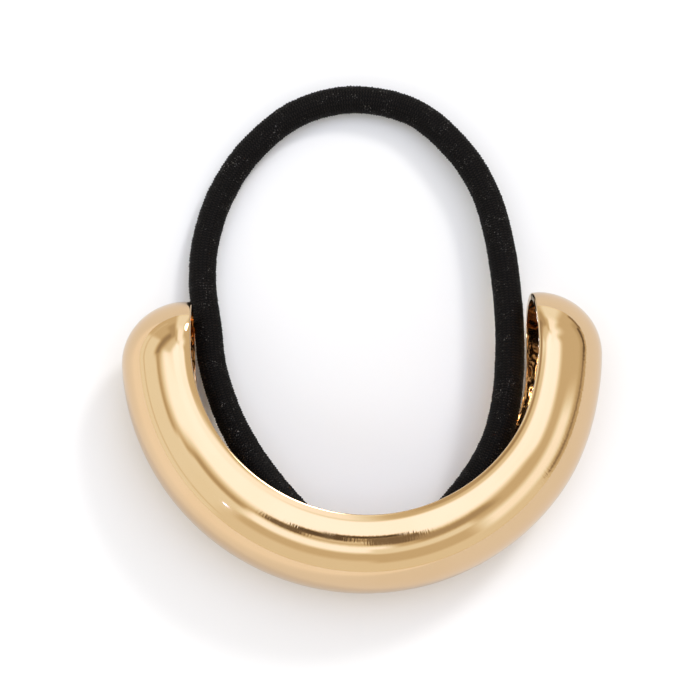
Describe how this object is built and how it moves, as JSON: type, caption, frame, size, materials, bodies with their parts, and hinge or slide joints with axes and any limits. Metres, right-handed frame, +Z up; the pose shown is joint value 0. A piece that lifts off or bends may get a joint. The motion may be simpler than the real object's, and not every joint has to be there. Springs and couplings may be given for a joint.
{
  "type": "hair tie with a metal cuff",
  "caption": "Ponytail tie: a C-shaped gold half-tube cuff, open on its inner side, with a black elastic loop held behind a post in its channel.",
  "frame": {"origin": "middle of the cuff's arc, on the surface that the tie lies on", "axes": "+Z up, along the ponytail that passes through the loop; +X across the cuff, from its left end to its right end; +Y towards the open side of the cuff and the far end of the elastic"},
  "size_m": [0.0676, 0.0745, 0.0176],
  "materials": {
    "gold": "polished gold plating",
    "elastic": "black knitted cover over rubber"
  },
  "bodies": {
    "root": {"cuff": "gold", "elastic": "elastic"}
  },
  "joints": []
}
